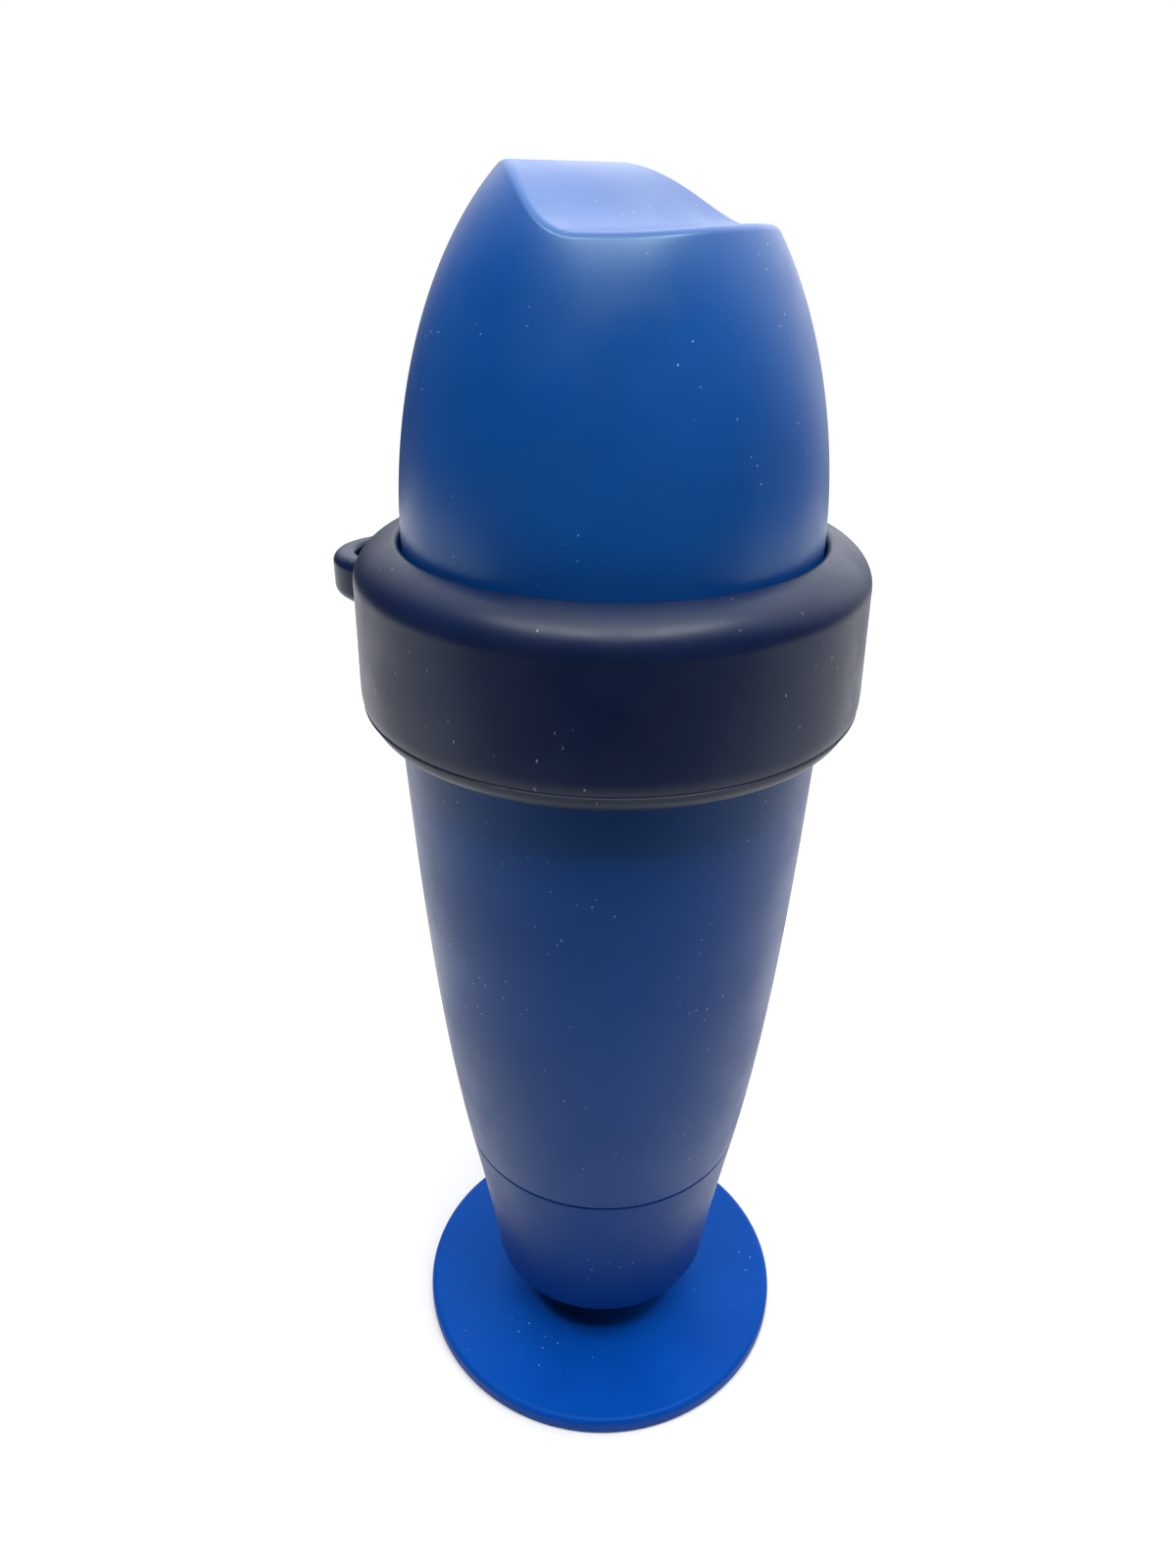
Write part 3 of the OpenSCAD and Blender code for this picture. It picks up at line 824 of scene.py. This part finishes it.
def make_sleeve():
    shell = lathe(sleeve_outline())
    raise_thread(shell, BORE_R, BORE_Z + 1.2, SLEEVE_TOP - 1.8, -THREAD_RISE, THREAD_LEAD / 2)
    added, drilled = [], []
    for turn in SCREW_TURNS:
        added.append(out_from_axis(leg_web(), 0, turn))
        added.append(out_from_axis(round_bar(BOSS_R, DISC_TOP, BOSS_TOP, 0.8), SCREW_RING_R, turn))
        pilot = round_bar(SCREW_SHANK_R + 0.05, DISC_TOP - 1, SCREW_END_Z + 0.5)
        drilled.append(out_from_axis(pilot, SCREW_RING_R, turn))
    whole = combined(to_mesh("sleeve", shell), added, "UNION")
    whole = combined(whole, drilled, "DIFFERENCE")
    piece("foot_sleeve_skin", whole, "foot", FOOT_BLUE, ["foot_sleeve"])
    seal = lathe(arc((FOOT_SEAL_R, FOOT_SEAL_Z), (0.95, 0.95), 0, 345, 23))
    piece("foot_seal_ring", seal, "foot_seal", BLACK_RUBBER, ["foot_seal"])


def make_disc():
    rings = (15.0, 30.0)
    plate = to_mesh("disc", lathe(eased([
        (0, 0), *[(r, 0) for r in rings], (DISC_R, 0, 1.1), (DISC_R, DISC_TOP, 1.5),
        *[(r, DISC_TOP) for r in rings[::-1]], (0, DISC_TOP),
    ])))
    holes = []
    for turn in SCREW_TURNS:
        holes.append(out_from_axis(round_bar(SCREW_HEAD_R + 0.2, -1, SCREW_SEAT_Z), SCREW_RING_R, turn))
        holes.append(out_from_axis(round_bar(SCREW_SHANK_R + 0.1, 1, DISC_TOP + 1), SCREW_RING_R, turn))
    plate = combined(plate, holes, "DIFFERENCE")
    piece("foot_disc_plate", plate, "foot", DISC_BLUE, ["foot_disc"])


def make_screws():
    whole = bmesh.new()
    for turn in SCREW_TURNS:
        screw = to_mesh("screw", lathe(eased([
            (0, SCREW_HEAD_Z), (SCREW_HEAD_R, SCREW_HEAD_Z, 0.35), (SCREW_HEAD_R, SCREW_SEAT_Z),
            (SCREW_SHANK_R, SCREW_SEAT_Z), (SCREW_SHANK_R, SCREW_END_Z, 0.3), (0, SCREW_END_Z),
        ]), 48))
        socket = lathe([
            (0, SCREW_HEAD_Z - 1), (SCREW_SOCKET_R, SCREW_HEAD_Z - 1), (SCREW_SOCKET_R, 1.6), (0, 1.9),
        ], 6)
        screw = combined(screw, [socket], "DIFFERENCE")
        screw.transform(Matrix.Rotation(turn, 4, "Z") @ Matrix.Translation((SCREW_RING_R * MM, 0, 0)))
        whole.from_mesh(screw)
    piece("foot_cap_screws", whole, "foot", STEEL, ["foot_screws"])


# ---------------------------------------------------------------- probe

def make_probe():
    cup_r = PROBE_R - CUP_WALL
    grooves = []
    for level in PLUG_SEALS:
        low, high = level - PLUG_GROOVE_HALF, level + PLUG_GROOVE_HALF
        grooves += [(PLUG_R, low), (PLUG_GROOVE_R, low), (PLUG_GROOVE_R, high), (PLUG_R, high)]
    body = to_mesh("probe", lathe(eased([
        (0, PROBE_FACE), (cup_r, PROBE_FACE, 0.5), (cup_r, PROBE_TIP, 0.4), (PROBE_R, PROBE_TIP, 0.7),
        (PROBE_R, PROBE_SHOULDER, 1.0), (PLUG_R, PROBE_SHOULDER),
        *grooves, (PLUG_R, PROBE_TOP, 1.0), (0, PROBE_TOP),
    ])))
    windows = []
    for k in range(3):
        window = slab(box_outline(PROBE_R - 1, 0, 6, 4), PROBE_TIP - 1, PROBE_TIP + 4)
        windows.append(out_from_axis(window, 0, math.radians(30 + 120 * k)))
    body = combined(body, windows, "DIFFERENCE")
    piece("probe_housing", body, "probe", DARK_PLASTIC, ["probe_body"])
    seals = bmesh.new()
    for level in PLUG_SEALS:
        section = arc((PLUG_SEAL_R, level), (PLUG_SEAL_SECTION, PLUG_SEAL_SECTION), 0, 345, 23)
        seals.from_mesh(to_mesh("seal", lathe(section, 128)))
    piece("probe_seal_rings", seals, "probe", BLACK_RUBBER, ["probe_seals"])
    bulb = lathe([
        (0, PROBE_FACE), (BULB_NECK_R, PROBE_FACE),
        *arc((0, BULB_Z), (BULB_R, BULB_R), 48, -88, 30), (0, BULB_Z - BULB_R),
    ], 96)
    piece("probe_glass_bulb", bulb, "probe", GLASS, ["glass_bulb"])


# ---------------------------------------------------------------- inside the hull and the head

def make_chassis():
    low, high = DECK
    top_low, top_high = TOP_DECK
    lower = to_mesh("deck", lathe(eased([
        (DECK_HOLE_R, low, 0.4), (DECK_R, low, 0.4), (DECK_R, high, 0.6), (DECK_HOLE_R, high, 0.6),
    ], 4), 128))
    upper = round_bar(TOP_DECK_R, top_low, top_high, 0.7, 128)
    rails = [slab(box_outline(RAIL_X * side, 0, 3, 12, 0.5), low + 1, top_high - 1) for side in (-1, 1)]
    pads = [out_from_axis(round_bar(PAD_R, PAD_Z, high - 0.5), EAR_R, turn) for turn in EAR_TURNS]
    whole = combined(lower, [upper, *rails, *pads], "UNION")
    screw_holes = [out_from_axis(round_bar(1.7, 86, 96), EAR_R, turn) for turn in EAR_TURNS]
    aerial_slot = slab(box_outline(0, 0, 24, 1.4, 0.5), top_low - 1, top_high + 1)
    round_hole = out_from_axis(round_bar(5, top_low - 1, top_high + 1), 20, math.radians(-90))
    whole = combined(whole, [*screw_holes, aerial_slot, round_hole], "DIFFERENCE")
    piece("chassis_deck", whole, "hull", PALE_PLASTIC, ["chassis_frame"])


def ribbon(path, width, low, high):
    """A flat strip along a path of right-angled turns in the XZ plane, between two depths in Y."""
    left, right = [], []
    for i, point in enumerate(path):
        spot = Vector(point)
        into = (spot - Vector(path[i - 1])).normalized() if i else None
        out = (Vector(path[i + 1]) - spot).normalized() if i + 1 < len(path) else None
        sides = [Vector((-d.y, d.x)) for d in (into, out) if d]
        mitre = sides[0] if len(sides) == 1 or sides[0].dot(sides[1]) > 0.9 else sides[0] + sides[1]
        left.append(tuple(spot + mitre * width / 2))
        right.append(tuple(spot - mitre * width / 2))
    strip = slab(left + right[::-1], -high, -low)
    return placed(strip, Matrix.Rotation(math.pi / 2, 4, "X"))


def make_aerial():
    low, high = low_corner("antenna_board"), high_corner("antenna_board")
    outline = box_outline(0, (low.z + high.z) / 2, high.x - low.x, high.z - low.z, 1.2)
    board = placed(slab(outline, -high.y, -low.y, 0.12), Matrix.Rotation(math.pi / 2, 4, "X"))
    piece("aerial_board", board, "hull", BOARD_GREEN, ["antenna_board"])
    path = [(0, FEED_Z)]
    for k, level in enumerate(between(*ZIGZAG, ZIGZAG_BENDS)):
        reach = ZIGZAG_REACH if k % 2 == 0 else -ZIGZAG_REACH
        path += [(path[-1][0], level), (reach, level)]
    trace = bmesh.new()
    for face in (low.y - TRACE_THICKNESS, high.y):
        trace.from_mesh(to_mesh("trace", ribbon(path, TRACE_WIDTH, face, face + TRACE_THICKNESS)))
    piece("aerial_trace", trace, "hull", GOLD)
    parts = bmesh.new()
    for x, z, width, height in AERIAL_CHIPS:
        chip = slab(box_outline(x, z, width, height, 0.15), -low.y, -low.y + CHIP_RISE, 0.08)
        parts.from_mesh(to_mesh("chip", placed(chip, Matrix.Rotation(math.pi / 2, 4, "X"))))
    piece("aerial_chips", parts, "hull", DARK_PLASTIC)


def make_sachet():
    """The desiccant sachet: a paper pillow with flat crimped ends."""
    low, high = low_corner("desiccant_pack"), high_corner("desiccant_pack")
    centre = (low + high) / 2
    half = (high - low) / 2
    seam_z = low.z + SEAM_HEIGHT * half.z
    long_steps, wide_steps = 44, 24
    bm = bmesh.new()
    sheets = []
    for face in (-1, 1):
        rows = []
        for i in range(long_steps + 1):
            u = 2 * i / long_steps - 1
            row = []
            for k in range(wide_steps + 1):
                v = 2 * k / wide_steps - 1
                crimp = max(0.0, (CRIMP_START - abs(u)) / CRIMP_START)
                puff = min(1.0, 2.2 * crimp) ** 0.6 * max(0.0, 1 - v * v) ** 0.55
                pleat = CRIMP_PLEAT * math.sin(26 * v) * (1 if abs(u) > CRIMP_START else 0)
                full = TOP_PUFF * half.z if face > 0 else LOW_PUFF * half.z
                rise = 0.1 + (full - 0.1) * puff if abs(v) < 1 and abs(u) < 1 else 0.05
                waist = 1 - WAIST_PULL * min(1.0, 2.2 * crimp)
                row.append(bm.verts.new((
                    (centre.x + half.x * u) * MM,
                    (centre.y + half.y * v * waist) * MM,
                    (seam_z + face * rise + pleat) * MM,
                )))
            rows.append(row)
        sheets.append(rows)
        for a, b in zip(rows, rows[1:]):
            for k in range(wide_steps):
                bm.faces.new((a[k], a[k + 1], b[k + 1], b[k]))

    def edge(rows):
        return rows[0] + [r[-1] for r in rows[1:]] + rows[-1][-2::-1] + [r[0] for r in rows[-2:0:-1]]

    bridge(bm, edge(sheets[0]), edge(sheets[1]))
    piece("desiccant_sachet", bm, "hull", PAPER, ["desiccant_pack"], crease=60)


# ---------------------------------------------------------------- floor, light and camera

# The camera stands where the photograph was taken from
CAMERA_TURN = math.radians(-159.4)
CAMERA_REACH = 0.2091
CAMERA_HEIGHT = 0.2619
CAMERA_PAN = math.radians(1.152)
CAMERA_PITCH = math.radians(27.99)
CAMERA_ROLL = math.radians(0.44)
CAMERA_LENS = 25.91

# Light: the brightest part of the surroundings, as (turn from the camera, height angle), and the
# cosines of the angle to it where the light starts to rise and where its rise would end
WINDOW = (156, 53)
WINDOW_EDGE = 0.25
WINDOW_CORE = 1.04
WINDOW_LIGHT = 2.6
DIM_LIGHT = 0.07
LIGHT_AIM = Vector((0, 0, 0.14))

# Floor: how far the sheet reaches towards the camera, to each side and away from the camera
FLOOR_FRONT = 0.26
FLOOR_SIDE = 1.1
FLOOR_BACK = 0.8


def toward(turn, rise):
    """A unit direction from an angle about the axis, counted from the camera's side, and a height angle."""
    heading = CAMERA_TURN + math.radians(turn)
    flat = math.cos(math.radians(rise))
    return Vector((flat * math.cos(heading), flat * math.sin(heading), math.sin(math.radians(rise))))


def softbox(name, turn, rise, distance, size, power):
    """An area light that faces the middle of the object."""
    data = bpy.data.lights.new(name, "AREA")
    data.shape = "RECTANGLE"
    data.size, data.size_y = size
    data.energy = power
    light = bpy.data.objects.new(name, data)
    bpy.context.scene.collection.objects.link(light)
    light.location = LIGHT_AIM + toward(turn, rise) * distance
    light.rotation_euler = (-toward(turn, rise)).to_track_quat("-Z", "Y").to_euler()


def studio_world():
    """White surroundings: bright high behind the object, falling to almost nothing on the camera's side."""
    world = bpy.data.worlds.new("studio_world")
    world.use_nodes = True
    bpy.context.scene.world = world
    tree = world.node_tree
    background = tree.nodes["Background"]
    direction = tree.nodes.new("ShaderNodeTexCoord").outputs["Generated"]
    facing = tree.nodes.new("ShaderNodeVectorMath")
    facing.operation = "DOT_PRODUCT"
    facing.inputs[1].default_value = toward(*WINDOW)
    tree.links.new(direction, facing.inputs[0])
    level = tree.nodes.new("ShaderNodeMapRange")
    level.interpolation_type = "SMOOTHSTEP"
    level.inputs["From Min"].default_value = WINDOW_EDGE
    level.inputs["From Max"].default_value = WINDOW_CORE
    level.inputs["To Min"].default_value = DIM_LIGHT
    level.inputs["To Max"].default_value = WINDOW_LIGHT
    tree.links.new(facing.outputs["Value"], level.inputs["Value"])
    tree.links.new(level.outputs["Result"], background.inputs["Strength"])
    background.inputs["Color"].default_value = (0.98, 0.99, 1.0, 1.0)
    backdrop = tree.nodes.new("ShaderNodeBackground")
    backdrop.inputs["Color"].default_value = (1.0, 1.0, 1.0, 1.0)
    seen = tree.nodes.new("ShaderNodeLightPath").outputs["Is Camera Ray"]
    both = tree.nodes.new("ShaderNodeMixShader")
    tree.links.new(seen, both.inputs["Fac"])
    tree.links.new(background.outputs[0], both.inputs[1])
    tree.links.new(backdrop.outputs[0], both.inputs[2])
    tree.links.new(both.outputs[0], tree.nodes["World Output"].inputs["Surface"])


def studio_floor():
    """A plain pale sheet. It ends a little way in front of the object, which reflects the dark beyond it.

    It goes down with the foot, because the analyser is lifted by as much as the foot unscrews.
    """
    bm = bmesh.new()
    corners = [
        (FLOOR_FRONT, -FLOOR_SIDE), (FLOOR_FRONT, FLOOR_SIDE),
        (-FLOOR_BACK, FLOOR_SIDE), (-FLOOR_BACK, -FLOOR_SIDE),
    ]
    bm.faces.new([bm.verts.new(toward(0, 0) * near + toward(90, 0) * beside) for near, beside in corners])
    mesh = to_mesh("studio_floor", bm)
    floor = bpy.data.objects.new("studio_floor", mesh)
    bpy.context.scene.collection.objects.link(floor)
    s = Shader("floor_white")
    s.set(
        Base_Color=s.mix(s.noise(3.0), (0.6, 0.6, 0.6), (0.62, 0.62, 0.62)),
        Roughness=0.9,
        Specular_IOR_Level=0.1,
    )
    mesh.materials.append(s.material)
    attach(floor, "foot_seal")


def camera():
    data = bpy.data.cameras.new("camera")
    data.sensor_width = 36.0
    data.lens = CAMERA_LENS
    data.clip_start = 0.01
    eye = bpy.data.objects.new("camera", data)
    bpy.context.scene.collection.objects.link(eye)
    place = Matrix.Translation((
        CAMERA_REACH * math.cos(CAMERA_TURN),
        CAMERA_REACH * math.sin(CAMERA_TURN),
        CAMERA_HEIGHT,
    ))
    heading = CAMERA_TURN + math.pi / 2 + CAMERA_PAN
    turn = Matrix.Rotation(heading, 4, "Z") @ Matrix.Rotation(math.pi / 2 - CAMERA_PITCH, 4, "X")
    eye.matrix_world = place @ turn @ Matrix.Rotation(CAMERA_ROLL, 4, "Z")
    bpy.context.scene.camera = eye


dress_cad_nodes()
make_hull()
make_head()
make_collar()
make_sleeve()
make_disc()
make_screws()
make_probe()
make_chassis()
make_aerial()
make_sachet()

studio_world()
studio_floor()
softbox("overhead", turn=0, rise=84, distance=3.0, size=(1.3, 1.3), power=11)
for turn in (-55, 0, 55):
    softbox(f"strip_light_{turn}", turn, rise=65, distance=2.0, size=(0.85, 0.16), power=17)
camera()
bpy.context.scene.view_settings.view_transform = "Standard"
